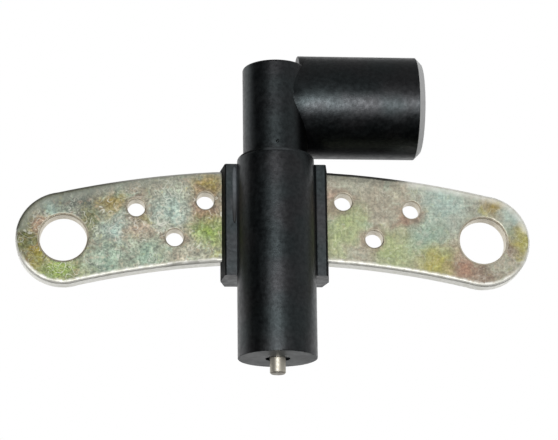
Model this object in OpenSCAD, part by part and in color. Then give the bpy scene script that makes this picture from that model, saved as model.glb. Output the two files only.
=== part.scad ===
// Inductive crankshaft position sensor. A black moulding carries a coil round a pole pin in its nose
// and a two-blade socket at its top, and grips a curved steel bracket that two bolts hold down.
// Millimetres. +Z runs up the sensor axis, away from the pole tip, and +X towards the socket's mouth.
// The origin lies midway between the bolt holes, on the bracket face that sits on the engine.

/* [Bracket] */
// Thickness of the steel strap
bracket_t = 3; // [2:0.1:4]
// Width of the strap across its curve
bracket_w = 17; // [15:0.5:20]
// How far the round ends stand out past the strap's edges
end_bulge = 0.05; // [0.04:0.01:0.5]
// Radius of the strap's middle line, about the crankshaft
arc_r = 164; // [130:1:240]
// Straight distance between the two bolt holes
bolt_spacing = 76; // [68:1:90]
// Diameter of the bolt holes
bolt_hole_d = 8.5; // [6:0.1:10]
// Rounding that blanking leaves along the strap's front edges
strap_edge_r = 0.5; // [0.2:0.05:0.8]
// Diameter of the six small holes
small_hole_d = 3.2; // [2:0.1:3.6]
// Rounding round the front rim of the small holes
small_hole_edge_r = 0.3; // [0.1:0.05:0.4]
// Angle at the crankshaft from the middle to the lower small hole, in degrees
small_hole_angle = 6.45; // [6.2:0.05:7]
// Angle at the crankshaft from the lower small hole to each upper one, in degrees
small_hole_step = 2.15; // [1.6:0.05:2.4]
// Distance of the two upper small holes outside the strap's middle line
upper_row = 3.1; // [2.4:0.1:4]
// Distance of the lower small hole inside the strap's middle line
lower_row = 3.3; // [2.4:0.1:4]
// Depth of the strap's waist, which keys the moulding in place
waist_depth = 1.2; // [0.6:0.1:2]
// Length of full-width strap that the block covers beside the waist
waist_cover = 2.5; // [1.5:0.1:4]

/* [Nose and neck] */
// Diameter of the nose, up to the block
nose_d = 14.1; // [13.6:0.1:17]
// How far the body draws in from the top of the nose to the shoulder
body_taper = 0.1; // [0.05:0.05:0.2]
// Distance of the nose face below the strap's middle line
nose_below = 27.3; // [26.5:0.1:36]
// Height of the shoulder above the strap's middle line
shoulder_above = 9.8; // [9.4:0.1:12]
// Diameter of the neck
neck_d = 11.7; // [10.5:0.1:13]
// Height of the neck's top above the strap's middle line
neck_above = 26.6; // [25.8:0.1:30]
// Rounding of the nose face's edge
nose_edge_r = 0.15; // [0.1:0.05:0.5]
// Rounding of the shoulder's edge
shoulder_edge_r = 0.9; // [0.4:0.05:0.95]
// Rounding of the neck's top edge
neck_edge_r = 0.4; // [0.2:0.05:0.8]
// Distance from the sensor axis back to the bracket's front face
plate_set = 3.5; // [3.4:0.1:6]
// Height of the gate mark above the shoulder
gate_above = 1.25; // [0.8:0.05:3]
// Radius of the gate mark's hollow
gate_r = 0.3; // [0.2:0.05:0.5]

/* [Moulded block] */
// Width of the block at the bracket's middle plane, where the mould parts
block_w = 19.6; // [18:0.1:26]
// Draft of each side of the block, from the middle plane to its front
front_draft = 0.65; // [0.2:0.05:1]
// Draft of each side of the block, from the middle plane to its back
back_draft = 0.9; // [0.2:0.05:1.2]
// Distance of the block's front face behind the sensor axis
block_front = 0.2; // [0.1:0.1:1.5]
// Plastic behind the bracket
block_back_cover = 2.5; // [1:0.1:3]
// Plastic above the strap's outer edge
block_top_cover = 0.1; // [0.1:0.1:0.5]
// Plastic below the strap's inner edge
block_bottom_cover = 3.6; // [2:0.1:5]
// Bevel along the block's upright edges and round its back
block_bevel = 0.25; // [0.1:0.05:0.5]

/* [Connector] */
// Diameter of the connector barrel
barrel_d = 18.9; // [18:0.1:22]
// Distance of the barrel's axis behind the sensor axis
barrel_set = 4.4; // [2.5:0.1:5]
// Height of the barrel's axis above the strap's middle line
barrel_above = 20.9; // [20:0.1:22]
// Distance of the barrel's closed end from the sensor axis
barrel_root = 4.3; // [3:0.1:5]
// Distance of the barrel's mouth from the sensor axis
barrel_mouth = 27.1; // [25:0.1:34]
// Rounding of the barrel's closed end
root_edge_r = 0.2; // [0.1:0.05:0.4]
// Bevel round the outside of the mouth
lip_bevel = 1.1; // [0.4:0.1:1.2]
// Bevel round the inside of the mouth
mouth_bevel = 0.2; // [0.1:0.05:0.4]
// Diameter of the socket
socket_d = 15.5; // [14:0.1:16]
// Depth of the socket
socket_depth = 16.3; // [13:0.1:17]
// Width of the rib that keys the plug
key_w = 2; // [1:0.1:3]
// Height of the rib that keys the plug
key_h = 1; // [0.5:0.1:1.5]

/* [Terminals] */
// Width of the blades and legs
blade_w = 2.8; // [2:0.1:3.2]
// Thickness of the sheet
blade_t = 0.8; // [0.5:0.05:1]
// Distance between the two blades
blade_pitch = 5.2; // [5:0.1:7]
// Length of blade that stands in the socket
blade_out = 11; // [7:0.1:12]
// Bevel at the blades' tips
blade_tip = 0.5; // [0.2:0.05:0.8]
// Distance of each leg from the sensor axis
leg_x = 2.6; // [2.5:0.1:3]
// Length of strip, behind the socket's floor, before it turns towards the neck
strip_run = 1.5; // [0.5:0.1:2]
// Distance from the sensor axis at which the strip lies in line with the neck
strip_inner = 5; // [4.5:0.1:6]

/* [Coil] */
// Diameter of the pole pin
pin_d = 2.8; // [2:0.1:3.4]
// Length of pole pin that stands out of the nose face
pin_out = 2.7; // [1:0.05:4]
// Bevel at the pole pin's tip
pin_bevel = 0.2; // [0.1:0.05:0.4]
// Diameter of the hollow round the pole pin in the nose face
hollow_d = 4.4; // [3.8:0.1:6]
// Depth of the hollow round the pole pin
hollow_depth = 0.4; // [0.3:0.1:1.1]
// Diameter of the pole pin's head
pin_head_d = 4.2; // [3.6:0.1:4.6]
// Thickness of the pole pin's head
pin_head_t = 1; // [0.6:0.1:1.5]
// Thickness of plastic between the nose face and the bobbin
nose_floor = 1.5; // [1.3:0.1:2.5]
// Length of the bobbin
bobbin_len = 15.8; // [11:0.1:16]
// Diameter of the bobbin's flanges
flange_d = 11; // [10:0.1:11.4]
// Thickness of the bobbin's flanges
flange_t = 1.2; // [0.8:0.1:1.6]
// Wall of the bobbin's tube
tube_wall = 0.7; // [0.5:0.05:0.9]
// Diameter of the winding
winding_d = 10.2; // [9:0.1:10.8]
// Diameter of the magnet
magnet_d = 4.6; // [4:0.1:4.6]
// Length of the magnet
magnet_len = 8; // [4:0.1:9]
// Diameter of the winding's lead ends
lead_d = 0.5; // [0.3:0.05:0.6]
// Height of the terminals' legs above the magnet
leg_gap = 2; // [1:0.1:4]
// Length over which a lead lies beside its leg
lead_lap = 3; // [2:0.1:5]
// Solder between a lead and its leg
solder_gap = 0.05; // [0.02:0.01:0.08]
// Clearance round the turned pieces inside the moulding
fit_gap = 0.1; // [0.05:0.01:0.15]

/* [Hidden] */
$fn = 96;
// How far a cutting shape reaches past what it cuts
over = 1;

// The strap's middle line stands this far above the bolt holes at the sensor
crown_z = arc_r - sqrt(arc_r * arc_r - bolt_spacing * bolt_spacing / 4);
hole_angle = asin(bolt_spacing / 2 / arc_r);
waist_w = block_w - 2 * waist_cover;

// Places along and behind the sensor axis, from the strap's middle line at the sensor
axis_y = -(bracket_t + plate_set);
nose_z = -nose_below;
shoulder_r = nose_d / 2 - body_taper;
plate_mid = plate_set + bracket_t / 2;
block_back = plate_set + bracket_t + block_back_cover;
block_bottom = -(bracket_w / 2 + block_bottom_cover);
block_top = bracket_w / 2 + block_top_cover;
socket_floor = barrel_mouth - socket_depth;

// Stack of the coil, from the nose face up
bobbin_z = nose_z + nose_floor;
winding_z = bobbin_z + flange_t;
winding_top = bobbin_z + bobbin_len - flange_t;
bobbin_top = bobbin_z + bobbin_len;
magnet_z = bobbin_top + pin_head_t;
magnet_top = magnet_z + magnet_len;
tube_r = pin_d / 2 + fit_gap + tube_wall;
leg_end = magnet_top + leg_gap;
lead_end = leg_end + lead_lap;
lead_x = leg_x + blade_t / 2 + solder_gap + lead_d / 2;

// Puts children on the sensor axis, at the height of the strap's middle line
module on_sensor_axis() {
  translate([0, axis_y, crown_z])
    children();
}

// Puts children, drawn flat, in the bracket's plane with their front towards the sensor
module in_bracket_plane() {
  rotate([90, 0, 0])
    children();
}

// Puts children, drawn upright, on the connector's axis
module on_barrel_axis() {
  on_sensor_axis()
    translate([0, barrel_set, barrel_above])
      rotate([0, 90, 0])
        children();
}

// What a rounding takes off a profile's square corner at the origin, with the material at -X and +Y
module corner_cut(r) {
  difference() {
    translate([-r, -over])
      square([r + over, r + over]);
    translate([-r, r])
      circle(r);
  }
}

// Section of the strap from its middle line out, with the front edge rounded
module half_section(half_w) {
  difference() {
    square([half_w, bracket_t]);
    translate([half_w, bracket_t])
      mirror([0, 1])
        corner_cut(strap_edge_r);
  }
}

// Curved strap between the bolt holes
module strap_curve() {
  translate([0, crown_z - arc_r, 0])
    rotate([0, 0, 90 - hole_angle])
      rotate_extrude(angle = 2 * hole_angle, $fn = 360)
        translate([arc_r, 0]) {
          half_section(bracket_w / 2);
          mirror([1, 0])
            half_section(bracket_w / 2);
        }
}

// Round end of the strap, about a bolt hole
module strap_end() {
  rotate_extrude()
    half_section(bracket_w / 2 + end_bulge);
}

// Puts children at both bolt holes
module at_bolts() {
  for (side = [-1, 1])
    translate([side * bolt_spacing / 2, 0, 0])
      children();
}

// Hole through the strap whose front rim is rolled over by the punch
module punched_hole(d, rim_r) {
  translate([0, 0, -over])
    cylinder(h = bracket_t + 2 * over, d = d);
  rotate_extrude()
    difference() {
      translate([0, bracket_t - rim_r])
        square([d / 2 + rim_r, rim_r + over]);
      translate([d / 2 + rim_r, bracket_t - rim_r])
        circle(rim_r);
    }
}

// Puts a small hole at an angle and a distance from the strap's middle line
module small_hole(angle, row) {
  translate([0, crown_z - arc_r, 0])
    rotate([0, 0, -angle])
      translate([0, arc_r + row, 0])
        punched_hole(small_hole_d, small_hole_edge_r);
}

module small_holes() {
  for (side = [-1, 1]) {
    for (step = [-1, 1])
      small_hole(side * (small_hole_angle + step * small_hole_step), upper_row);
    small_hole(side * small_hole_angle, -lower_row);
  }
}

// Notch in one edge of the strap, inside the moulded block
module waist_notch() {
  translate([-waist_w / 2, bracket_w / 2 - waist_depth, -over])
    cube([waist_w, waist_depth + over, bracket_t + 2 * over]);
}

module waist() {
  translate([0, crown_z, 0]) {
    waist_notch();
    mirror([0, 1, 0])
      waist_notch();
  }
}

module bracket() {
  color("#b3ab84")
    in_bracket_plane()
      difference() {
        union() {
          strap_curve();
          at_bolts()
            strap_end();
        }
        at_bolts()
          punched_hole(bolt_hole_d, strap_edge_r);
        small_holes();
        waist();
      }
}

// Nose, body and neck, turned about the sensor axis
module nose_and_neck() {
  rotate_extrude()
    difference() {
      union() {
        polygon([
          [0, nose_z],
          [nose_d / 2, nose_z],
          [nose_d / 2, block_bottom],
          [shoulder_r, shoulder_above - shoulder_edge_r],
          [shoulder_r, shoulder_above],
          [0, shoulder_above],
        ]);
        translate([0, nose_z])
          square([neck_d / 2, neck_above - nose_z]);
      }
      translate([nose_d / 2, nose_z])
        corner_cut(nose_edge_r);
      translate([shoulder_r, shoulder_above])
        mirror([0, 1])
          corner_cut(shoulder_edge_r);
      translate([neck_d / 2, neck_above])
        mirror([0, 1])
          corner_cut(neck_edge_r);
    }
}

// Solid barrel, turned about the connector's axis
module barrel() {
  rotate_extrude()
    difference() {
      polygon([
        [0, barrel_root],
        [barrel_d / 2, barrel_root],
        [barrel_d / 2, barrel_mouth - lip_bevel],
        [barrel_d / 2 - lip_bevel, barrel_mouth],
        [0, barrel_mouth],
      ]);
      translate([barrel_d / 2, barrel_root])
        corner_cut(root_edge_r);
    }
}

// Front of the barrel where it runs on into the neck, below the neck's rounded top
module barrel_run_in() {
  intersection() {
    on_barrel_axis()
      cylinder(h = barrel_root + over, d = barrel_d);
    on_sensor_axis()
      translate([0, -neck_d / 2 - over, shoulder_above])
        cube([barrel_root + over, neck_d / 2 + over, neck_above - 2 * neck_edge_r - shoulder_above]);
  }
}

// Space for the plug, with its bevelled mouth
module socket() {
  translate([0, 0, socket_floor])
    cylinder(h = socket_depth + over, d = socket_d);
  translate([0, 0, barrel_mouth - mouth_bevel])
    cylinder(h = mouth_bevel + over, d1 = socket_d, d2 = socket_d + 2 * (mouth_bevel + over));
}

// Rib along the top of the socket, set into its wall
module plug_key() {
  translate([-socket_d / 2 - (barrel_d - socket_d) / 4, -key_w / 2, socket_floor])
    cube([key_h + (barrel_d - socket_d) / 4, key_w, socket_depth - mouth_bevel - lip_bevel]);
}

function mirrored(points) =
  concat(points, [for (i = [len(points) - 1:-1:0]) [-points[i].x, points[i].y]]);

// Block round the bracket: a plan with drafted sides, cut to a side view with a bevelled back
module block() {
  half_w = block_w / 2;
  front_w = half_w - front_draft;
  back_w = half_w - back_draft;
  intersection() {
    translate([0, 0, block_bottom])
      linear_extrude(block_top - block_bottom)
        polygon(mirrored([
          [front_w - block_bevel, block_front],
          [front_w, block_front + block_bevel],
          [half_w, plate_mid],
          [back_w, block_back - block_bevel],
          [back_w - block_bevel, block_back],
        ]));
    translate([-half_w - over, 0, 0])
      rotate([90, 0, 90])
        linear_extrude(block_w + 2 * over)
          polygon([
            [block_front, block_bottom],
            [block_back - block_bevel, block_bottom],
            [block_back, block_bottom + block_bevel],
            [block_back, block_top - block_bevel],
            [block_back - block_bevel, block_top],
            [block_front, block_top],
          ]);
  }
}

// Room that the coil, the pole pin, the magnet and the leads take up in the moulding
module coil_room() {
  for (z = [bobbin_z, winding_top])
    translate([0, 0, z])
      cylinder(h = flange_t, d = flange_d + 2 * fit_gap);
  translate([0, 0, bobbin_z])
    cylinder(h = bobbin_len, d = winding_d + 2 * fit_gap);
  translate([0, 0, bobbin_top])
    cylinder(h = magnet_top - bobbin_top, d = max(magnet_d, pin_head_d) + 2 * fit_gap);
  translate([0, 0, nose_z - over])
    cylinder(h = nose_floor + 2 * over, d = pin_d + 2 * fit_gap);
  translate([0, 0, nose_z - over])
    cylinder(h = hollow_depth + over, d = hollow_d);
  for (side = [-1, 1])
    translate([side * lead_x, 0, bobbin_top - over])
      cylinder(h = lead_end - bobbin_top + over, d = lead_d + 2 * fit_gap);
}

module housing() {
  color("#1d1e20")
    union() {
      difference() {
        union() {
          on_sensor_axis() {
            nose_and_neck();
            block();
          }
          on_barrel_axis()
            barrel();
          barrel_run_in();
        }
        on_barrel_axis()
          socket();
        on_sensor_axis() {
          coil_room();
          translate([0, -neck_d / 2, shoulder_above + gate_above])
            sphere(gate_r);
        }
        bracket();
        upper_terminal();
        lower_terminal();
      }
      on_barrel_axis()
        plug_key();
    }
}

module pole_pin() {
  color("#c8c2b0")
    on_sensor_axis() {
      translate([0, 0, nose_z - pin_out])
        cylinder(h = pin_bevel, d1 = pin_d - 2 * pin_bevel, d2 = pin_d);
      translate([0, 0, nose_z - pin_out + pin_bevel])
        cylinder(h = bobbin_top - nose_z + pin_out - pin_bevel, d = pin_d);
      translate([0, 0, bobbin_top])
        cylinder(h = pin_head_t, d = pin_head_d);
    }
}

module magnet() {
  color("#4a4b50")
    on_sensor_axis()
      translate([0, 0, magnet_z])
        cylinder(h = magnet_len, d = magnet_d);
}

module bobbin() {
  color("#d9cfb0")
    on_sensor_axis()
      difference() {
        union() {
          translate([0, 0, bobbin_z])
            cylinder(h = bobbin_len, r = tube_r);
          for (z = [bobbin_z, winding_top])
            translate([0, 0, z])
              cylinder(h = flange_t, d = flange_d);
        }
        translate([0, 0, bobbin_z - over])
          cylinder(h = bobbin_len + 2 * over, d = pin_d + 2 * fit_gap);
        for (side = [-1, 1])
          translate([side * lead_x, 0, winding_top - over])
            cylinder(h = flange_t + 2 * over, d = lead_d + 2 * fit_gap);
      }
}

// Coil and its two lead ends, one length of wire
module winding() {
  color("#a8552c")
    on_sensor_axis() {
      translate([0, 0, winding_z])
        difference() {
          cylinder(h = winding_top - winding_z, d = winding_d);
          translate([0, 0, -over])
            cylinder(h = winding_top - winding_z + 2 * over, r = tube_r + fit_gap);
        }
      for (side = [-1, 1])
        translate([side * lead_x, 0, winding_top - over])
          cylinder(h = lead_end - winding_top + over, d = lead_d);
    }
}

// Flat strip from the tip of a blade to the bend above its leg, seen from above
module strip_plan(bend_x) {
  half_w = blade_w / 2;
  tip = socket_floor + blade_out;
  turn = socket_floor - strip_run;
  polygon([
    [bend_x, -half_w],
    [strip_inner, -half_w],
    [turn, barrel_set - half_w],
    [tip - blade_tip, barrel_set - half_w],
    [tip, barrel_set - half_w + blade_tip],
    [tip, barrel_set + half_w - blade_tip],
    [tip - blade_tip, barrel_set + half_w],
    [turn, barrel_set + half_w],
    [strip_inner, half_w],
    [bend_x, half_w],
  ]);
}

// Terminal with its blade at a height and its leg at a distance from the sensor axis
module terminal(blade_z, at_x) {
  color("#c9b873")
    on_sensor_axis() {
      translate([0, 0, blade_z - blade_t / 2])
        linear_extrude(blade_t)
          strip_plan(at_x - blade_t / 2);
      translate([at_x - blade_t / 2, -blade_w / 2, leg_end])
        cube([blade_t, blade_w, blade_z + blade_t / 2 - leg_end]);
    }
}

module upper_terminal() {
  terminal(barrel_above + blade_pitch / 2, -leg_x);
}

module lower_terminal() {
  terminal(barrel_above - blade_pitch / 2, leg_x);
}

housing();
bracket();
pole_pin();
magnet();
bobbin();
winding();
upper_terminal();
lower_terminal();
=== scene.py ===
"""Finish, light and camera for the crankshaft position sensor."""
import math
import bpy
from mathutils import Matrix, Vector


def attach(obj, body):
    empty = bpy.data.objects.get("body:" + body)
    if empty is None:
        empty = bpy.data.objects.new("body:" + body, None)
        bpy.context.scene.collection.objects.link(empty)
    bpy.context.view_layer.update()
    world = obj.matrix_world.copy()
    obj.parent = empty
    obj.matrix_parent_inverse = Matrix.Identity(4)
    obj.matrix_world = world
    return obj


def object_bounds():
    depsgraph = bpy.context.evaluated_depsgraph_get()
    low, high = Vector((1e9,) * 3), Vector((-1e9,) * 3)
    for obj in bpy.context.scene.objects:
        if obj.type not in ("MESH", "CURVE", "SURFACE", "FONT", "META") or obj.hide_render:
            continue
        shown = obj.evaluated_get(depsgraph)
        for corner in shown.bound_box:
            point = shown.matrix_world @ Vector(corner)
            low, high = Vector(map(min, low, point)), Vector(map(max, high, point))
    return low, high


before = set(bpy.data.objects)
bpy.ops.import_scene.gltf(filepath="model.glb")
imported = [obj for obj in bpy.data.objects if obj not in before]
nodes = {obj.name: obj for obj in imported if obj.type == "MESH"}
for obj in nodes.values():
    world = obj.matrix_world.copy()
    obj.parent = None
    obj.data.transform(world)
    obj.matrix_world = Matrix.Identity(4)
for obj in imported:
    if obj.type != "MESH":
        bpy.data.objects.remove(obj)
cad_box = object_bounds()
scene = bpy.context.scene
scene.view_settings.view_transform = "Standard"

MM = 0.001

# Camera, as fitted to the photograph's outlines
PHOTO_WIDTH_PX = 558
FOCAL_PX = 2064.5
SENSOR_MM = 36
CAMERA_AZIMUTH = -4.412
CAMERA_ELEVATION = -15.970
CAMERA_ROLL = -0.695
CAMERA_DISTANCE = 369.7 * MM
CAMERA_TARGET = Vector((0.514, -6.5, 2.54)) * MM
CAMERA_NEAR = 10 * MM

# Studio
FLOOR_DROP = 135 * MM
FLOOR_RADIUS = 1.2
FLOOR_SIDES = 96
FLOOR_TONE = (240, 240, 238)
KEY_AZIMUTH = -5.6
KEY_ELEVATION = -6.0
KEY_DISTANCE = 0.6
KEY_HALF_ANGLES = (15.5, 11.0)
KEY_RADIANCE = 17.0
# Light by direction: the parts of a unit vector between which each area starts and ends, and its level
SHEET_Y = (-0.05, 0.35)
SHEET_Z = (-0.62, -0.32)
OVERHEAD_Z = (0.55, 0.95)
OVERHEAD_LEVEL = 0.25
WALL_X = (0.05, 0.95)
WALL_Z = (-0.6, 0.0)
WALL_LEVEL = 0.35
ROOM_X = (-0.9, 0.1)
ROOM_Z = (-0.5, 0.35)
ROOM_LEVEL = 0.24
ROOM_LEFT_SHARE = 0.08

# Places on the housing that its finish, painted light and painted shade follow
BARREL_Y = -2.1 * MM
BARREL_Z = 25.363 * MM
LIP_RADIUS = 8.2 * MM
LIP_BEVEL = 1.1 * MM
NOSE_FACE_DEPTH = 0.5 * MM
BLOCK_FRONT_Y = -6.3 * MM
BLOCK_TOP_Z = 13.1 * MM
BLOCK_HALF_W = 9.8 * MM
BLOCK_SIDE_X = 8.5 * MM
CREASE_X = 7.1 * MM
CREASE_CORE = 0.15 * MM
CREASE_REACH = 0.4 * MM
SHOULDER_Z = 14.26 * MM
SHOULDER_ROUND = 0.9 * MM
SHOULDER_RIGHT_X = 7.2 * MM
NECK_Y = -6.5 * MM
NECK_RADIUS = 5.855 * MM
NECK_FOOT_Z = SHOULDER_Z + 0.2 * MM
# Widths over which the limits of these places fade
SOFT_EDGE = 0.1 * MM
SHARP_EDGE = 0.02 * MM

# Stretches of the housing over which its painted shade and painted light change
NECK_SHADE_X = (2.1 * MM, 5.0 * MM)
BARREL_SHADE_X = (2.5 * MM, 7.0 * MM)
RIM_DARK_X = (-3.4 * MM, -1.8 * MM)
RIM_PALE_LEFT_X = (-3.0 * MM, -1.2 * MM)
RIM_PALE_RIGHT_X = (1.0 * MM, 3.4 * MM)
RIM_RIGHT_SHARE = 0.15
NECK_SHADE_Z = (BARREL_Z - 4 * MM, BARREL_Z + 3 * MM)
NECK_TOP_SHARE = 0.5
BARREL_SHADE_Z = (BARREL_Z, BARREL_Z + 2 * MM)
RIM_FRONT_Y = (-9.5 * MM, -8.5 * MM)

# Plastic: lump sizes of its noises, relief, tones and tints of its shine
PLASTIC_CLOUD = 6 * MM
PLASTIC_HUE = 7 * MM
PLASTIC_SINK = 3.5 * MM
PLASTIC_LUMP = 0.9 * MM
PLASTIC_MOTTLE = 0.7 * MM
PLASTIC_GRAIN = 0.25 * MM
PLASTIC_RELIEF = 0.02 * MM
GRAIN_HEIGHT = 0.2
SINK_HEIGHT = 0.8
LUMP_HEIGHT = 0.9
BLACK_TONES = ((1, 1, 2), (4, 4, 4))
# Pale lip: painted light from the right on the socket's bevel
LIP_LIGHT_TONES = ((158, 158, 159), (180, 180, 178))
# Pale nose face: painted reflection on the downward face
NOSE_REFLECTION_TONES = ((85, 89, 89), (109, 113, 113))
# Shoulder rim: painted light standing in for light from above
RIM_LIGHT_TONE = (53, 55, 57)
COOL_SHINE = (0.80, 0.96, 1.0, 1)
PLAIN_SHINE = (0.93, 0.95, 1.0, 1)
GLOSS = (0.39, 0.61)
SATIN = (0.35, 0.41)
SATIN_LUMPS = (-0.05, 0.05)
NOSE_ROUGHER = 0.09
SIDE_ROUGHER = 0.35
RIM_ROUGHER = 0.35
# Share of the gloss that is left in each painted shade
CREASE_GLOSS = 0.1
SIDE_GLOSS = 0.4
NECK_GLOSS = 0.1
BARREL_GLOSS = 0.3
RIM_GLOSS = 0.2

# Bead beside the body, whose pale top is a painted highlight in the crease
BEAD_X = -7.42 * MM
BEAD_HALF_W = 0.36 * MM
BEAD_RISE = 0.12 * MM
BEAD_TOP = 12.6 * MM
BEAD_BOTTOM = 2.0 * MM
BEAD_FADE_TOP = BEAD_TOP - 3 * MM
BEAD_SIDES = 16
BEAD_ROWS = 24
BEAD_BLUNTNESS = 8
BEAD_END_SHARE = 0.02
BEAD_HIGHLIGHT_TONES = ((72, 77, 81), (90, 95, 99))
BEAD_FOOT_TONE = (6, 6, 6)
BEAD_HIGHLIGHT_RIPPLE = 1.2 * MM
BEAD_ROUGHNESS = 0.65

# Bracket
BOLT_X = 38 * MM
STRAP_CURVE_R = 164 * MM
STRAP_CURVE_DROP = math.sqrt(STRAP_CURVE_R ** 2 - BOLT_X ** 2)
STRAP_HALF_W = 8.5 * MM
END_TURN_Z = (-2 * MM, 2 * MM)
# Small holes of one half: angle at the centre of the strap's curve, and distance outside its middle line
SMALL_HOLES = ((4.3, 3.1 * MM), (6.45, -3.3 * MM), (8.6, 3.1 * MM))
# Distances from a hole's axis between which the stain on its wall and the rust round it fade out
BOLT_HOLE_WALL = (4.4 * MM, 5.0 * MM)
SMALL_HOLE_WALL = (1.85 * MM, 2.05 * MM)
SMALL_HOLE_RUST = (1.5 * MM, 3.2 * MM)
RUST_STRENGTH = 0.6

# Film on the bracket: lump sizes of its noises, relief and tones
FILM_CLOUD = 5 * MM
FILM_DRIFT = 3.0 * MM
FILM_DRIFT_REACH = (6 * MM, 0, 6 * MM)
FILM_TINGE = 2.0 * MM
FILM_BLOTCH = 1.4 * MM
FILM_SPECK = 0.9 * MM
FILM_GRAIN = 0.45 * MM
FILM_STREAK = 0.35 * MM
STREAK_STRETCHES = ((0.05, 1, 1), (1, 1, 0.05))
FILM_RELIEF = 0.02 * MM
FILM_GRAIN_HEIGHT = 0.35
FILM_SPECK_HEIGHT = 0.5
CURL_DEPTH = 0.2
STAIN_SPREAD = 1.45
SPECK_RANGE = (0.42, 0.72)
SPECK_STRENGTH = 0.55
GRAIN_LEVELS = (0.42, 1.42)
BLOTCH_LEVELS = (0.64, 1.3)
STREAK_LEVELS = (0.94, 1.06)
# Curly scratches: the size of each set and its shift in the noise, then what they share
CURL_SETS = ((3.2 * MM, (0, 0, 0)), (1.9 * MM, (0.3, 0.1, 0.2)))
CURL_HEIGHTS = 9.0
CURL_WIDTH = 0.09
CURL_GAPS = 1.3
CURL_RANGE = (0.5, 0.6)
CURL_STRENGTH = 0.75
CURL_TONE = (226, 226, 214)
BARE_ZINC_TONES = ((240, 239, 232), (222, 221, 210))
HOLE_WALL_TONES = ((216, 208, 188), (188, 178, 156))
# Tones of the painted shade along the upper edge
DARK_EDGE_TONE = (74, 74, 54)
SHADED_EDGE_TONE = (34, 34, 30)
CLOUD_TINTS = ("olive", "grey", "lilac", "grey", "teal")
TINGE_TINTS = ("gold", "teal", "brown", "pale")

# Zones along the strap's edges, for wear, painted highlight and painted shade: the distances in from the edge
# between which each fades, and its strength
WORN_AND_LIT_ZONE = (0.7 * MM, 1.3 * MM, 0.9)
DUSKY_ZONE = (0.6 * MM, 3.6 * MM, 0.85)
DARK_ZONE = (0.6 * MM, 1.5 * MM, 0.8)
SILVER_ZONE = (0.6 * MM, 2.2 * MM, 0.6)
ZONE_WANDER = 0.8 * MM
# Shade along the upper edge, right of the block: a dark line, and a softer band below it
SHADE_DEPTH = 0.75 * MM
SHADE_REACH = 15 * MM
SHADE_LINE = (0.7 * SHADE_DEPTH, SHADE_DEPTH, 0.9)
SHADE_BAND = (SHADE_DEPTH, 3.2 * SHADE_DEPTH, 0.42)
SHADE_STOP_X = (BLOCK_HALF_W + 0.7 * SHADE_REACH, BLOCK_HALF_W + SHADE_REACH)
PAST_SHADE_X = (BLOCK_HALF_W + 0.8 * SHADE_REACH, BLOCK_HALF_W + 1.1 * SHADE_REACH)

# Stretches of the strap over which its finish, painted light and painted shade change, with the share that is
# left or the levels at both ends
WORN_AND_LIT_START_X = (-46 * MM, -44 * MM)
WORN_AND_LIT_STOP_X = (42 * MM, 46 * MM)
WORN_AND_LIT_TIP_SHARE = 0.3
DARK_STOP_X = (-34 * MM, -22 * MM)
DUSK_WANE_X = (-30 * MM, -12 * MM)
DUSK_SHARE = 0.45
DUSK_STOP_X = (-10 * MM, -4 * MM)
HARSH_WANE_X = (-14 * MM, 8 * MM)
HARSH_SHARE = 0.6
CURLS_WANE_X = (-10 * MM, 6 * MM)
CURLS_RIGHT_SHARE = 0.3
# Painted shade: the film darker towards the left, darker still at the left tip
GLOOM_X = (-46 * MM, 6 * MM)
GLOOM_LEVELS = (0.74, 0.92)
LEFT_TIP_X = (-47 * MM, -40 * MM)
LEFT_TIP_LEVELS = (0.72, 1.0)
VIVID_LEFT_X = (-46 * MM, -36 * MM)
VIVID_LEFT = (1.35, 1.12)
VIVID_MIDDLE_X = (-8 * MM, 8 * MM)
VIVID_MIDDLE = (1.0, 0.92)

# Metals and nylon
WEAR_SIZE = 0.5 * MM
WEAR_RELIEF = 0.01 * MM
WEAR_TONE = (120, 116, 106)
WEAR_STRENGTH = 0.25
WEAR_SMOOTHER = 0.05
WEAR_ROUGHER = 0.08
NICKEL_TONE = (200, 195, 182)
MAGNET_TONE = (120, 120, 122)
TIN_TONE = (206, 200, 182)
NYLON_TONES = ((212, 202, 168), (226, 217, 190))
NYLON_CLOUD = 2 * MM
NYLON_GRAIN = 0.3 * MM
NYLON_RELIEF = 0.01 * MM
NYLON_ROUGHNESS = 0.45
COPPER_TONES = ((176, 92, 52), (198, 116, 70))
COPPER_CLOUD = 1.5 * MM
WIRE_PITCH = 0.2 * MM
WIRE_RELIEF = 0.04 * MM
WIRE_ROUGHNESS = 0.3

# Parts of a surface's direction between which it starts to face the front, down, aside or up
FACES_FRONT = (-0.95, -0.9)
FACES_DOWN = (-0.9, -0.7)
FACES_ASIDE = (0.3, 0.5)
FACES_UP = (0.1, 0.4)
# The same on the strap, for all that isn't its flat face, for its square cuts and for what is turned down
ROUNDED_OFF = (0.9, 0.985)
CUT_SQUARE = (0.05, 0.25)
TURNED_DOWN = (-0.1, 0.1)

# Metallic level and roughness of the strap, from its film to its bright edges
STRAP_METALLIC = (0.3, 0.9)
STRAP_ROUGHNESS = (0.5, 0.32)
# Level of the painted dark line along the upper edge at which the bare rounded edge shows least, and the
# share of it left there
DARK_EDGE_FULL = 0.8
DARK_EDGE_SHARE = 0.25

# Parts of a noise's range that are spread from one end of a change to the other
WIDE = (0.25, 0.75)
MIDDLE = (0.3, 0.7)
NARROW = (0.35, 0.65)

# Tints of the chromate film on the bracket
TINTS = {
    "green": (146, 166, 94),
    "sage": (162, 173, 124),
    "moss": (110, 114, 66),
    "olive": (168, 162, 90),
    "gold": (157, 139, 80),
    "brown": (160, 126, 106),
    "pink": (184, 162, 143),
    "rust": (138, 120, 104),
    "lilac": (166, 158, 140),
    "shade_slate": (120, 125, 114),
    "grey": (176, 176, 158),
    "mint": (172, 191, 181),
    "teal": (154, 176, 158),
    "pale": (206, 206, 192),
}
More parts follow.
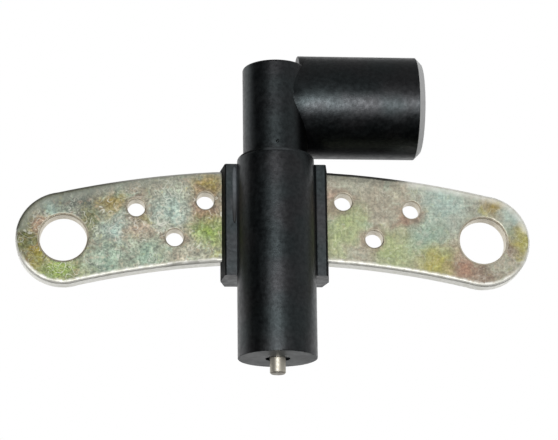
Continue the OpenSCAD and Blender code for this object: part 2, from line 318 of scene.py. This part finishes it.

# Stains on the bracket's front, with two slate patches of painted shade: tint, place along and up the
# bracket, and reach, in millimetres
STAINS = (
    ("moss", -45.2, 0.1, 4.6),
    ("gold", -42.4, -3.2, 2.6),
    ("green", -38.3, -5.8, 4.6),
    ("mint", -40.3, 5.9, 2.6),
    ("pink", -42.3, 2.3, 2.4),
    # Painted shade: these two slate patches darken the upper left
    ("shade_slate", -37.5, 8.2, 3.4),
    ("shade_slate", -34.6, 6.8, 4.4),
    ("moss", -32.9, 2.9, 2.6),
    ("gold", -29.2, 6.0, 3.0),
    ("mint", -28.7, 1.9, 3.8),
    ("pink", -24.5, 0.9, 3.0),
    ("grey", -18.9, 9.2, 4.4),
    ("mint", -18.9, 5.2, 4.0),
    ("gold", -12.0, 10.0, 3.2),
    ("brown", -12.6, 4.7, 3.0),
    ("green", -11.5, 1.0, 4.2),
    ("teal", -23.4, -3.0, 4.2),
    ("teal", -30.5, -4.2, 4.2),
    ("grey", -14.8, -2.9, 3.6),
    ("pink", 10.1, 7.8, 2.6),
    ("grey", 16.0, 10.5, 4.6),
    ("lilac", 17.8, 6.9, 4.0),
    ("mint", 31.0, 7.2, 5.6),
    ("sage", 13.3, 3.3, 3.8),
    ("sage", 11.1, -0.1, 3.6),
    ("brown", 24.3, 3.8, 2.6),
    ("teal", 27.7, 0.5, 4.4),
    ("sage", 21.6, -2.3, 4.6),
    ("olive", 29.3, -4.3, 4.0),
    ("brown", 34.6, -5.4, 3.4),
    ("rust", 43.1, -1.4, 2.6),
    ("rust", 37.8, -6.2, 2.6),
    ("olive", 45.3, 0.2, 3.0),
    ("gold", 40.6, 6.9, 2.6),
    ("lilac", 42.9, 4.1, 2.2),
    ("mint", 43.6, 4.6, 2.4),
)


def direction(azimuth, elevation):
    a = math.radians(azimuth)
    e = math.radians(elevation)
    return Vector((math.sin(a) * math.cos(e), -math.cos(a) * math.cos(e), math.sin(e)))


def colour(red, green, blue):
    """Linear colour of a screen colour from 0 to 255."""
    def linear(level):
        level = level / 255
        return level / 12.92 if level <= 0.04045 else ((level + 0.055) / 1.055) ** 2.4
    return (linear(red), linear(green), linear(blue), 1.0)


class Nodes:
    """Short calls for building a shader's node tree."""

    def __init__(self, tree):
        self.tree = tree

    def add(self, kind, inputs=None, **settings):
        """New node with its settings, and with values or links on its inputs."""
        node = self.tree.nodes.new(kind)
        for name, value in settings.items():
            setattr(node, name, value)
        for name, value in (inputs or {}).items():
            self.put(node.inputs[name], value)
        return node

    def put(self, socket, value):
        """Links an output to the socket, or sets the socket to a value."""
        if isinstance(value, bpy.types.NodeSocket):
            self.tree.links.new(value, socket)
        else:
            socket.default_value = value

    def math(self, operation, first, second=0.0):
        """Result of an operation on numbers."""
        node = self.add("ShaderNodeMath", {0: first, 1: second}, operation=operation)
        return node.outputs[0]

    def vector(self, operation, first, second):
        """Result of an operation on vectors."""
        node = self.add("ShaderNodeVectorMath", {0: first, 1: second}, operation=operation)
        return node.outputs["Value"] if operation == "DISTANCE" else node.outputs[0]

    def axes(self, vector):
        """The three parts of a vector."""
        return self.add("ShaderNodeSeparateXYZ", {0: vector}).outputs

    def flat(self, place):
        """A place moved straight into the plane of the bracket's back face."""
        return self.vector("MULTIPLY", place, (1, 0, 1))

    def normal(self):
        """The parts of the surface's direction, without bump."""
        return self.axes(self.add("ShaderNodeNewGeometry").outputs["Normal"])

    def overlap(self, *masks):
        """Where all the masks hold."""
        shared = masks[0]
        for mask in masks[1:]:
            shared = self.math("MULTIPLY", shared, mask)
        return shared

    def outside(self, mask):
        """Where the mask doesn't hold."""
        return self.math("SUBTRACT", 1.0, mask)

    def step(self, value, low, high, start=0.0, end=1.0):
        """Goes smoothly from start to end while the value goes from low to high."""
        inputs = {"Value": value, "From Min": low, "From Max": high, "To Min": start, "To Max": end}
        node = self.add("ShaderNodeMapRange", inputs, interpolation_type="SMOOTHSTEP")
        return node.outputs["Result"]

    def fall(self, value, low, high, start=1.0):
        """Goes smoothly from start to 0 while the value goes from low to high."""
        return self.step(value, low, high, start, 0.0)

    def noise(self, place, size, detail=2.0, roughness=0.5, part="Fac"):
        """Noise whose lumps are about one size across."""
        inputs = {"Vector": place, "Scale": 1 / size, "Detail": detail, "Roughness": roughness}
        return self.add("ShaderNodeTexNoise", inputs).outputs[part]

    def blend(self, amount, first, second, kind="MIX"):
        """Colour between the first and the second."""
        node = self.add("ShaderNodeMix", data_type="RGBA", blend_type=kind)
        self.put(node.inputs["Factor"], amount)
        self.put(node.inputs[6], first)
        self.put(node.inputs[7], second)
        return node.outputs[2]

    def between(self, amount, tones):
        """Colour between two screen colours."""
        return self.blend(amount, colour(*tones[0]), colour(*tones[1]))

    def dim(self, tone, level):
        """Colour times a level."""
        levels = self.add("ShaderNodeCombineXYZ", {0: level, 1: level, 2: level}).outputs[0]
        return self.blend(1.0, tone, levels, "MULTIPLY")

    def ramp(self, value, stops):
        """Colour that passes through evenly spaced stops."""
        node = self.add("ShaderNodeValToRGB", {"Fac": value})
        elements = node.color_ramp.elements
        while len(elements) < len(stops):
            elements.new(0.5)
        for i, stop in enumerate(stops):
            elements[i].position = i / (len(stops) - 1)
            elements[i].color = stop
        return node.outputs["Color"]

    def bump(self, shader, height, distance):
        """Relief on the shader's surface."""
        node = self.add("ShaderNodeBump", {"Height": height, "Strength": 1.0, "Distance": distance})
        self.put(shader.inputs["Normal"], node.outputs["Normal"])


def finish_material(name):
    """New material with its node helper, shader and Object coordinates."""
    material = bpy.data.materials.new(name)
    material.use_nodes = True
    n = Nodes(material.node_tree)
    shader = material.node_tree.nodes["Principled BSDF"]
    place = n.add("ShaderNodeTexCoord").outputs["Object"]
    return material, n, shader, place


def lit_lip(n, place, x, lip_x):
    """The bevel at the socket's mouth, whose pale tone is painted light from the right."""
    from_axis = n.vector("DISTANCE", n.vector("MULTIPLY", place, (0, 1, 1)), (0, BARREL_Y, BARREL_Z))
    return n.overlap(n.step(x, lip_x - SOFT_EDGE / 2, lip_x + SOFT_EDGE / 2),
                     n.step(from_axis, LIP_RADIUS - SOFT_EDGE, LIP_RADIUS + SOFT_EDGE))


def crease_shade(n, x, y, facing):
    """Painted shade in the right-hand corner between the body and the block's front."""
    off_crease = n.math("ABSOLUTE", n.math("SUBTRACT", x, CREASE_X))
    return n.overlap(n.fall(off_crease, CREASE_CORE, CREASE_REACH),
                     n.step(y, BLOCK_FRONT_Y - 2 * SOFT_EDGE, BLOCK_FRONT_Y - SOFT_EDGE),
                     n.fall(facing, *FACES_FRONT))


def seam_shades(n, place, x, z):
    """Painted shade on the sides of the neck and of the barrel where they meet."""
    above = n.math("GREATER_THAN", z, NECK_FOOT_Z)
    from_neck = n.vector("DISTANCE", n.vector("MULTIPLY", place, (1, 1, 0)), (0, NECK_Y, 0))
    off_neck = n.step(from_neck, NECK_RADIUS, NECK_RADIUS + SHARP_EDGE)
    on_neck = n.overlap(above, n.outside(off_neck), n.step(x, *NECK_SHADE_X),
                        n.step(z, *NECK_SHADE_Z, 1.0, NECK_TOP_SHARE))
    on_barrel = n.overlap(above, off_neck, n.fall(x, *BARREL_SHADE_X), n.fall(z, *BARREL_SHADE_Z))
    return on_neck, on_barrel


def shoulder_rim(n, x, y, z, up):
    """The rounded edge of the shoulder, at the front, which carries painted light and painted shade."""
    off_rim = n.math("ABSOLUTE", n.math("SUBTRACT", z, SHOULDER_Z))
    return n.overlap(n.fall(off_rim, SHOULDER_ROUND, SHOULDER_ROUND + SOFT_EDGE),
                     n.math("LESS_THAN", x, SHOULDER_RIGHT_X), n.step(up, *FACES_UP), n.fall(y, *RIM_FRONT_Y))


def moulded_plastic():
    """Satin black plastic with a mottled skin, painted light on the lip and nose face, painted shade by
    place.
    """
    material, n, shader, place = finish_material("moulded_black_plastic")
    cloudy = n.noise(place, PLASTIC_CLOUD, detail=3)
    lumps = n.noise(place, PLASTIC_LUMP, roughness=0.6)
    grain = n.noise(place, PLASTIC_GRAIN)
    sink = n.noise(place, PLASTIC_SINK, detail=1)
    mottle = n.noise(place, PLASTIC_MOTTLE, detail=3, roughness=0.6)
    hue = n.noise(place, PLASTIC_HUE, roughness=0.4)
    x, y, z = n.axes(place)
    sideways, facing, up = n.normal()
    corners = [corner.co for corner in nodes["housing"].data.vertices]

    lip = lit_lip(n, place, x, max(corner.x for corner in corners) - LIP_BEVEL)
    nose_top = min(corner.z for corner in corners) + NOSE_FACE_DEPTH
    nose_face = n.overlap(n.fall(z, nose_top, nose_top + SOFT_EDGE), n.fall(up, *FACES_DOWN))
    # Painted shade: the block's sides keep less gloss, and are rougher, so they show darker
    beside = n.math("GREATER_THAN", n.math("ABSOLUTE", x), BLOCK_SIDE_X)
    block_side = n.overlap(n.math("LESS_THAN", z, BLOCK_TOP_Z), beside,
                           n.step(n.math("ABSOLUTE", sideways), *FACES_ASIDE))
    # Painted shade: a dark line in the right-hand crease, by less gloss
    crease = crease_shade(n, x, y, facing)
    # Painted shade: the neck and the barrel lose gloss where they meet
    neck_shade, barrel_shade = seam_shades(n, place, x, z)
    rim = shoulder_rim(n, x, y, z, up)
    # Painted shade on the rim's left, by less gloss; painted light on its front, by a paler tone
    rim_shade = n.overlap(rim, n.fall(x, *RIM_DARK_X))
    rim_light = n.overlap(rim, n.step(x, *RIM_PALE_LEFT_X), n.step(x, *RIM_PALE_RIGHT_X, 1.0, RIM_RIGHT_SHARE))

    tone = n.between(cloudy, BLACK_TONES)
    # Painted reflection: the downward nose face is given a pale grey tone
    tone = n.blend(nose_face, tone, n.between(lumps, NOSE_REFLECTION_TONES))
    tone = n.blend(rim_light, tone, colour(*RIM_LIGHT_TONE))
    # Painted light: the lip's pale tone stands in for light from the right
    tone = n.blend(lip, tone, n.between(lumps, LIP_LIGHT_TONES))
    n.put(shader.inputs["Base Color"], tone)
    rough = n.math("ADD", n.step(cloudy, *MIDDLE, *SATIN), n.step(lumps, *MIDDLE, *SATIN_LUMPS))
    for mask, rougher in ((nose_face, NOSE_ROUGHER), (block_side, SIDE_ROUGHER), (rim, RIM_ROUGHER)):
        rough = n.math("ADD", rough, n.math("MULTIPLY", mask, rougher))
    n.put(shader.inputs["Roughness"], rough)
    n.put(shader.inputs["Specular Tint"], n.blend(n.step(hue, *NARROW), COOL_SHINE, PLAIN_SHINE))
    gloss = n.step(mottle, *WIDE, *GLOSS)
    shades = ((crease, CREASE_GLOSS), (block_side, SIDE_GLOSS), (neck_shade, NECK_GLOSS),
              (barrel_shade, BARREL_GLOSS), (rim_shade, RIM_GLOSS))
    for mask, left in shades:
        gloss = n.math("MULTIPLY", gloss, n.step(mask, 0.0, 1.0, 1.0, left))
    n.put(shader.inputs["Specular IOR Level"], gloss)
    height = n.math("ADD", n.math("MULTIPLY", grain, GRAIN_HEIGHT), n.math("MULTIPLY", sink, SINK_HEIGHT))
    height = n.math("ADD", height, n.math("MULTIPLY", lumps, LUMP_HEIGHT))
    n.bump(shader, height, PLASTIC_RELIEF)
    return material


def curls(n, place, size, shift):
    """Thin curly lines, where a noise passes through evenly spaced heights."""
    moved = n.vector("ADD", place, shift)
    level = n.noise(moved, size, detail=1.5, roughness=0.4)
    saw = n.math("FRACT", n.math("MULTIPLY", level, CURL_HEIGHTS))
    off = n.math("ABSOLUTE", n.math("SUBTRACT", saw, 0.5))
    where = n.noise(moved, CURL_GAPS * size, detail=1)
    return n.math("MULTIPLY", n.fall(off, 0.0, CURL_WIDTH), n.step(where, *CURL_RANGE))


def from_bolts(n, place):
    """Distance of a place on the strap from the nearer bolt hole's axis."""
    folded = n.add("ShaderNodeVectorMath", {0: n.flat(place)}, operation="ABSOLUTE").outputs[0]
    return n.vector("DISTANCE", folded, (BOLT_X, 0, 0))


def strap_insets(n, place):
    """Distances of a place on the strap in from its lower and its upper edge."""
    from_centre = n.vector("DISTANCE", n.flat(place), (0, 0, -STRAP_CURVE_DROP))
    outward = n.math("SUBTRACT", from_centre, STRAP_CURVE_R)
    at_end = n.math("SUBTRACT", STRAP_HALF_W, from_bolts(n, place))
    x, _, z = n.axes(place)
    past_bolt = n.math("GREATER_THAN", n.math("ABSOLUTE", x), BOLT_X)
    insets = []
    for side in (1, -1):
        along = n.math("ADD", n.math("MULTIPLY", outward, side), STRAP_HALF_W)
        turned_away = n.step(n.math("MULTIPLY", z, side), *END_TURN_Z, 0.0, STRAP_HALF_W)
        round_end = n.math("ADD", at_end, turned_away)
        insets.append(n.add("ShaderNodeMix", {0: past_bolt, 2: along, 3: round_end}).outputs[0])
    return insets


def small_holes():
    """Places along and up the strap of its six small holes."""
    for side in (1, -1):
        for angle, outward in SMALL_HOLES:
            radius = STRAP_CURVE_R + outward
            turn = math.radians(angle)
            yield side * radius * math.sin(turn), radius * math.cos(turn) - STRAP_CURVE_DROP


def hole_walls(n, place):
    """The walls of the small holes and of the bolt holes."""
    straight = n.flat(place)
    walls = n.fall(from_bolts(n, place), *BOLT_HOLE_WALL)
    for along, up in small_holes():
        off = n.vector("DISTANCE", straight, (along, 0, up))
        walls = n.math("MAXIMUM", walls, n.fall(off, *SMALL_HOLE_WALL))
    return walls


def stained_film(n, place, tint, specks, grain):
    """Film away from the edges: clouds, stains, rust round the small holes, grain and streaks."""
    x = n.axes(place)[0]
    drift = n.noise(place, FILM_DRIFT, detail=4, roughness=0.55, part="Color")
    drift = n.vector("MULTIPLY", n.vector("SUBTRACT", drift, (0.5, 0.5, 0.5)), FILM_DRIFT_REACH)
    drifted = n.flat(n.vector("ADD", place, drift))
    clouds = n.noise(drifted, FILM_CLOUD, detail=4, roughness=0.6)
    film = n.ramp(n.step(clouds, *WIDE), [tint[name] for name in CLOUD_TINTS])
    for name, along, up, reach in STAINS:
        off = n.vector("DISTANCE", drifted, (along * MM, 0, up * MM))
        film = n.blend(n.fall(off, 0.0, STAIN_SPREAD * reach * MM), film, tint[name])
    tinge = n.ramp(n.step(n.noise(drifted, FILM_TINGE, detail=3), *MIDDLE),
                   [tint[name] for name in TINGE_TINTS])
    harsh = n.step(x, *HARSH_WANE_X, 1.0, HARSH_SHARE)
    film = n.blend(n.math("MULTIPLY", n.step(specks, *SPECK_RANGE, 0.0, SPECK_STRENGTH), harsh), film, tinge)
    for along, up in small_holes():
        off = n.vector("DISTANCE", drifted, (along, 0, up))
        film = n.blend(n.fall(off, *SMALL_HOLE_RUST, RUST_STRENGTH), film, tint["rust"])
    blotch = n.noise(drifted, FILM_BLOTCH, detail=3, roughness=0.6)
    shade = n.overlap(n.step(grain, *WIDE, *GRAIN_LEVELS), n.step(blotch, *WIDE, *BLOTCH_LEVELS))
    shade = n.math("ADD", 1.0, n.math("MULTIPLY", n.math("SUBTRACT", shade, 1.0), harsh))
    for stretch in STREAK_STRETCHES:
        streak = n.noise(n.vector("MULTIPLY", place, stretch), FILM_STREAK, detail=1)
        shade = n.math("MULTIPLY", shade, n.step(streak, *MIDDLE, *STREAK_LEVELS))
    return n.dim(film, shade)


def film_edge_light_shade_and_wear(n, place, film, tint, specks, bare, insets):
    """The film with its bare zones, partly painted highlight, its dusky and dark zones of painted shade along
    the strap's edges, and the mask of the dark one.
    """
    x = n.axes(place)[0]
    wander = n.math("MULTIPLY", specks, ZONE_WANDER)
    from_lower, from_upper = [n.math("ADD", inset, wander) for inset in insets]
    # Bare zinc along the lower edge, partly wear and partly a painted highlight that widens the lit rounded
    # edge
    worn = n.overlap(n.fall(from_lower, *WORN_AND_LIT_ZONE), n.step(x, *WORN_AND_LIT_START_X),
                     n.step(x, *WORN_AND_LIT_STOP_X, 1.0, WORN_AND_LIT_TIP_SHARE))
    film = n.blend(worn, film, bare)
    # Painted shade: a dusky slate band along the upper edge, weaker to the right
    dusky = n.overlap(n.fall(from_upper, *DUSKY_ZONE), n.step(x, *DUSK_WANE_X, 1.0, DUSK_SHARE),
                      n.fall(x, *DUSK_STOP_X))
    film = n.blend(dusky, film, tint["shade_slate"])
    # Painted shade: a dark line along the upper edge on the left
    dark = n.overlap(n.fall(from_upper, *DARK_ZONE), n.fall(x, *DARK_STOP_X))
    film = n.blend(dark, film, colour(*DARK_EDGE_TONE))
    # Bare zinc along the upper edge past the painted shade, partly wear and partly a painted highlight
    silver = n.overlap(n.fall(from_upper, *SILVER_ZONE), n.step(x, *PAST_SHADE_X))
    return n.blend(silver, film, bare), dark


def edge_shade(n, x, from_upper):
    """Shade along the strap's upper edge, from the block to the right."""
    dark = n.math("MAXIMUM", n.fall(from_upper, *SHADE_LINE), n.fall(from_upper, *SHADE_BAND))
    return n.overlap(dark, n.math("GREATER_THAN", x, 0.0), n.fall(x, *SHADE_STOP_X))


def plated_steel():
    """Zinc plate under a stained chromate film, scratched by tumbling in the plating drum."""
    material, n, shader, place = finish_material("chromated_zinc_plate")
    tint = {name: colour(*levels) for name, levels in TINTS.items()}
    x = n.axes(place)[0]
    specks = n.noise(place, FILM_SPECK, detail=4, roughness=0.7)
    grain = n.noise(place, FILM_GRAIN, detail=3, roughness=0.7)
    film = stained_film(n, place, tint, specks, grain)
    coarse, fine = [curls(n, place, size, shift) for size, shift in CURL_SETS]
    marks = n.math("MAXIMUM", coarse, fine)
    marks = n.math("MULTIPLY", marks, n.step(x, *CURLS_WANE_X, 1.0, CURLS_RIGHT_SHARE))
    film = n.blend(n.math("MULTIPLY", marks, CURL_STRENGTH), film, colour(*CURL_TONE))
    # Painted shade: the film darker towards the left, against the lamp's stronger reflection there
    gloom = n.overlap(n.step(x, *GLOOM_X, *GLOOM_LEVELS), n.step(x, *LEFT_TIP_X, *LEFT_TIP_LEVELS))
    film = n.dim(film, gloom)
    vivid = n.overlap(n.step(x, *VIVID_LEFT_X, *VIVID_LEFT), n.step(x, *VIVID_MIDDLE_X, *VIVID_MIDDLE))
    film = n.add("ShaderNodeHueSaturation", {"Saturation": vivid, "Color": film}).outputs[0]
    bare = n.between(n.step(specks, *NARROW), BARE_ZINC_TONES)
    insets = strap_insets(n, place)
    film, dark = film_edge_light_shade_and_wear(n, place, film, tint, specks, bare, insets)

    facing, up = n.normal()[1:]
    facing = n.math("ABSOLUTE", facing)
    edge = n.fall(facing, *ROUNDED_OFF)
    square_cut = n.fall(facing, *CUT_SQUARE)
    dull = n.math("MAXIMUM", n.fall(up, *TURNED_DOWN), n.step(x, *PAST_SHADE_X))
    dull = n.math("MULTIPLY", dull, n.outside(square_cut))
    bare = n.blend(hole_walls(n, place), bare, n.between(n.step(specks, *NARROW), HOLE_WALL_TONES))
    film = n.blend(n.overlap(edge, n.step(dark, 0.0, DARK_EDGE_FULL, 1.0, DARK_EDGE_SHARE)), film, bare)
    film = n.blend(edge_shade(n, x, insets[1]), film, colour(*SHADED_EDGE_TONE))
    n.put(shader.inputs["Base Color"], film)
    bright_edge = n.math("MULTIPLY", edge, n.outside(dull))
    n.put(shader.inputs["Metallic"], n.step(bright_edge, 0.0, 1.0, *STRAP_METALLIC))
    n.put(shader.inputs["Roughness"], n.step(edge, 0.0, 1.0, *STRAP_ROUGHNESS))
    height = n.math("MULTIPLY", grain, FILM_GRAIN_HEIGHT)
    height = n.math("ADD", height, n.math("MULTIPLY", specks, FILM_SPECK_HEIGHT))
    n.bump(shader, n.math("SUBTRACT", height, n.math("MULTIPLY", marks, CURL_DEPTH)), FILM_RELIEF)
    return material


def bright_metal(name, tone, roughness=0.3, metallic=1.0):
    """Plain metal, a little worn."""
    material, n, shader, place = finish_material(name)
    wear = n.noise(place, WEAR_SIZE, detail=3)
    worn = n.step(wear, *MIDDLE, 0.0, WEAR_STRENGTH)
    n.put(shader.inputs["Base Color"], n.blend(worn, colour(*tone), colour(*WEAR_TONE)))
    shader.inputs["Metallic"].default_value = metallic
    rough = n.step(wear, *MIDDLE, roughness - WEAR_SMOOTHER, roughness + WEAR_ROUGHER)
    n.put(shader.inputs["Roughness"], rough)
    n.bump(shader, wear, WEAR_RELIEF)
    return material


def bobbin_nylon():
    """Cream moulded nylon."""
    material, n, shader, place = finish_material("bobbin_nylon")
    n.put(shader.inputs["Base Color"], n.between(n.noise(place, NYLON_CLOUD), NYLON_TONES))
    shader.inputs["Roughness"].default_value = NYLON_ROUGHNESS
    n.bump(shader, n.noise(place, NYLON_GRAIN), NYLON_RELIEF)
    return material


def copper_wire():
    """Enamelled copper, ridged by the turns of the wire."""
    material, n, shader, place = finish_material("copper_wire")
    n.put(shader.inputs["Base Color"], n.between(n.noise(place, COPPER_CLOUD), COPPER_TONES))
    shader.inputs["Metallic"].default_value = 1.0
    shader.inputs["Roughness"].default_value = WIRE_ROUGHNESS
    turns = n.math("SINE", n.math("MULTIPLY", n.axes(place)[2], 2 * math.pi / WIRE_PITCH))
    n.bump(shader, turns, WIRE_RELIEF)
    return material


def bead_highlight_plastic():
    """Plastic pale at the top of the bead as a painted highlight, black at its foot."""
    material, n, shader, place = finish_material("bead_painted_highlight")
    # Painted highlight: pale grey at the bead's top, fading to black towards its foot
    highlight_tone = n.between(n.step(n.noise(place, BEAD_HIGHLIGHT_RIPPLE), *MIDDLE), BEAD_HIGHLIGHT_TONES)
    height = n.step(n.axes(place)[2], BEAD_BOTTOM, BEAD_FADE_TOP)
    n.put(shader.inputs["Base Color"], n.blend(height, colour(*BEAD_FOOT_TONE), highlight_tone))
    shader.inputs["Roughness"].default_value = BEAD_ROUGHNESS
    return material


def highlight_bead(material):
    """Low bead beside the body, down the left of the block's front, carrying a painted highlight."""
    corners = []
    for row in range(BEAD_ROWS + 1):
        height = BEAD_TOP + (BEAD_BOTTOM - BEAD_TOP) * row / BEAD_ROWS
        from_middle = abs(2 * row / BEAD_ROWS - 1)
        swell = math.sqrt(1 + BEAD_END_SHARE - from_middle ** BEAD_BLUNTNESS)
        for i in range(BEAD_SIDES):
            turn = 2 * math.pi * i / BEAD_SIDES
            across = BEAD_X + BEAD_HALF_W * swell * math.cos(turn)
            corners.append((across, BLOCK_FRONT_Y + BEAD_RISE * swell * math.sin(turn), height))
    faces = []
    for row in range(BEAD_ROWS):
        for i in range(BEAD_SIDES):
            a = row * BEAD_SIDES + i
            b = row * BEAD_SIDES + (i + 1) % BEAD_SIDES
            faces.append((a, a + BEAD_SIDES, b + BEAD_SIDES, b))
    faces.append(tuple(range(BEAD_SIDES)))
    faces.append(tuple(BEAD_ROWS * BEAD_SIDES + i for i in reversed(range(BEAD_SIDES))))
    mesh = bpy.data.meshes.new("highlight_bead")
    mesh.from_pydata(corners, [], faces)
    mesh.shade_smooth()
    mesh.materials.append(material)
    bead = bpy.data.objects.new("highlight_bead", mesh)
    scene.collection.objects.link(bead)
    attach(bead, "root")


def dress(node, material):
    """Gives a CAD node its finish."""
    mesh = nodes[node].data
    mesh.materials.clear()
    mesh.materials.append(material)


def make_camera():
    """Camera at the photograph's viewing angle."""
    back = direction(CAMERA_AZIMUTH, CAMERA_ELEVATION)
    right = Vector((0, 0, 1)).cross(back).normalized()
    up = back.cross(right)
    turn = math.radians(CAMERA_ROLL)
    tilted_right = right * math.cos(turn) + up * math.sin(turn)
    tilted_up = up * math.cos(turn) - right * math.sin(turn)
    data = bpy.data.cameras.new("camera")
    data.sensor_fit = "HORIZONTAL"
    data.sensor_width = SENSOR_MM
    data.lens = FOCAL_PX / PHOTO_WIDTH_PX * SENSOR_MM
    data.clip_start = CAMERA_NEAR
    camera = bpy.data.objects.new("camera", data)
    turned = Matrix((tilted_right, tilted_up, back)).transposed().to_4x4()
    camera.matrix_world = Matrix.Translation(CAMERA_TARGET + back * CAMERA_DISTANCE) @ turned
    scene.collection.objects.link(camera)
    scene.camera = camera


def make_key_lamp():
    """Oval soft lamp in front of the object, with half angles across and up as the object sees it."""
    data = bpy.data.lights.new("key_lamp", "AREA")
    data.shape = "ELLIPSE"
    radii = [KEY_DISTANCE * math.tan(math.radians(angle)) for angle in KEY_HALF_ANGLES]
    data.size = 2 * radii[0]
    data.size_y = 2 * radii[1]
    data.energy = KEY_RADIANCE * math.pi * math.pi * radii[0] * radii[1]
    lamp = bpy.data.objects.new("key_lamp", data)
    towards = direction(KEY_AZIMUTH, KEY_ELEVATION)
    lamp.location = CAMERA_TARGET + towards * KEY_DISTANCE
    lamp.rotation_mode = "QUATERNION"
    lamp.rotation_quaternion = towards.to_track_quat("Z", "Y")
    lamp.visible_camera = False
    scene.collection.objects.link(lamp)


def make_world():
    """White sheet behind, a pale wall on the right and a dim room in front, all white to the camera."""
    world = bpy.data.worlds.new("studio")
    scene.world = world
    world.use_nodes = True
    n = Nodes(world.node_tree)
    background = world.node_tree.nodes["Background"]
    background.inputs["Color"].default_value = (1, 1, 1, 1)
    x, y, z = n.axes(n.add("ShaderNodeTexCoord").outputs["Generated"])
    sheet = n.overlap(n.step(y, *SHEET_Y), n.step(z, *SHEET_Z), n.step(z, *OVERHEAD_Z, 1.0, OVERHEAD_LEVEL))
    wall = n.overlap(n.step(x, *WALL_X, 0.0, WALL_LEVEL), n.step(z, *WALL_Z))
    room = n.overlap(n.step(z, *ROOM_Z, 0.0, ROOM_LEVEL), n.step(x, *ROOM_X, ROOM_LEFT_SHARE, 1.0))
    level = n.math("MAXIMUM", sheet, n.math("ADD", wall, room))
    seen = n.add("ShaderNodeLightPath").outputs["Is Camera Ray"]
    n.put(background.inputs["Strength"], n.math("MAXIMUM", level, seen))


def make_floor():
    """Pale floor below the object, which only the camera sees."""
    bpy.ops.mesh.primitive_circle_add(vertices=FLOOR_SIDES, radius=FLOOR_RADIUS, fill_type="NGON")
    floor = bpy.context.object
    floor.name = "floor"
    lowest = cad_box[0].z
    floor.location = (0, 0, lowest - FLOOR_DROP)
    material = bpy.data.materials.new("pale_floor")
    material.use_nodes = True
    tree = material.node_tree
    tree.nodes.remove(tree.nodes["Principled BSDF"])
    n = Nodes(tree)
    seen = n.add("ShaderNodeLightPath").outputs["Is Camera Ray"]
    unseen = n.add("ShaderNodeBsdfTransparent").outputs[0]
    pale = n.add("ShaderNodeEmission", {"Color": colour(*FLOOR_TONE)}).outputs[0]
    shown = n.add("ShaderNodeMixShader", {0: seen, 1: unseen, 2: pale})
    n.put(tree.nodes["Material Output"].inputs["Surface"], shown.outputs[0])
    floor.data.materials.append(material)


dress("housing", moulded_plastic())
highlight_bead(bead_highlight_plastic())
dress("bracket", plated_steel())
dress("pole_pin", bright_metal("nickel_iron", NICKEL_TONE, roughness=0.45, metallic=0.75))
dress("magnet", bright_metal("magnet_alloy", MAGNET_TONE, roughness=0.5))
dress("winding", copper_wire())
dress("bobbin", bobbin_nylon())
tinned = bright_metal("tinned_brass", TIN_TONE)
dress("upper_terminal", tinned)
dress("lower_terminal", tinned)

make_camera()
make_world()
make_floor()
make_key_lamp()
